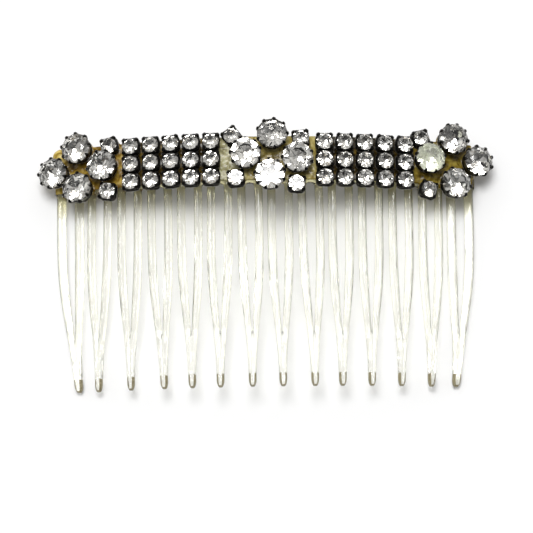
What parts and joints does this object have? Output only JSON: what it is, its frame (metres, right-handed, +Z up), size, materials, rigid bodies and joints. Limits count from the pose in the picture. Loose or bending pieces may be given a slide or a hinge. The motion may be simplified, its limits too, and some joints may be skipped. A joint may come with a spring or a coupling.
{
  "type": "decorative hair comb",
  "caption": "Clear arched side comb with forked teeth, its spine set with clusters and strips of round stones in dark claw settings.",
  "frame": {"origin": "middle of the bounding box seen from above, at the surface that the comb lies on", "axes": "+X along the comb, to the right with the stones up; the teeth point to -Y; +Z up, out of the stones' faces"},
  "size_m": [0.0975, 0.0565, 0.0167],
  "materials": {
    "clear_plastic": "clear moulded plastic, faintly yellow, polished",
    "cement": "aged amber cement, glossy and lumpy",
    "setting_metal": "oxidised nearly black, worn grey on the edges",
    "stone": "clear faceted glass with a silver foil back",
    "stone_clouded": "faceted glass, its foil clouded yellow-green"
  },
  "bodies": {
    "root": {"comb_body": "clear_plastic", "cement_left": "cement", "cement_strip_left": "cement", "cement_centre": "cement", "cement_strip_right": "cement", "cement_right": "cement", "settings_left_top_row": "setting_metal", "settings_left_middle_row": "setting_metal", "settings_left_bottom_row": "setting_metal", "settings_right_top_row": "setting_metal", "settings_right_middle_row": "setting_metal", "settings_right_bottom_row": "setting_metal", "stones_left_top_row": "stone", "stones_left_middle_row": "stone", "stones_left_bottom_row": "stone", "stones_right_top_row": "stone", "stones_right_middle_row": "stone", "stones_right_bottom_row": "stone", "setting_left_top": "setting_metal", "setting_left_outer": "setting_metal", "setting_left_inner": "setting_metal", "setting_left_bottom": "setting_metal", "setting_left_upper_small": "setting_metal", "setting_left_lower_small": "setting_metal", "setting_centre_left": "setting_metal", "setting_centre_top": "setting_metal", "setting_centre_right": "setting_metal", "setting_centre_bottom": "setting_metal", "setting_centre_upper_left_small": "setting_metal", "setting_centre_upper_right_small": "setting_metal", "setting_centre_lower_left_small": "setting_metal", "setting_centre_lower_right_small": "setting_metal", "setting_right_inner": "setting_metal", "setting_right_top": "setting_metal", "setting_right_outer": "setting_metal", "setting_right_bottom": "setting_metal", "setting_right_upper_small": "setting_metal", "setting_right_lower_small": "setting_metal", "stone_left_top": "stone", "stone_left_outer": "stone", "stone_left_inner": "stone", "stone_left_bottom": "stone", "stone_left_upper_small": "stone", "stone_left_lower_small": "stone", "stone_centre_left": "stone", "stone_centre_top": "stone", "stone_centre_right": "stone", "stone_centre_bottom": "stone", "stone_centre_upper_left_small": "stone", "stone_centre_upper_right_small": "stone", "stone_centre_lower_left_small": "stone", "stone_centre_lower_right_small": "stone", "stone_right_inner": "stone_clouded", "stone_right_top": "stone", "stone_right_outer": "stone", "stone_right_bottom": "stone", "stone_right_upper_small": "stone", "stone_right_lower_small": "stone"}
  },
  "joints": []
}
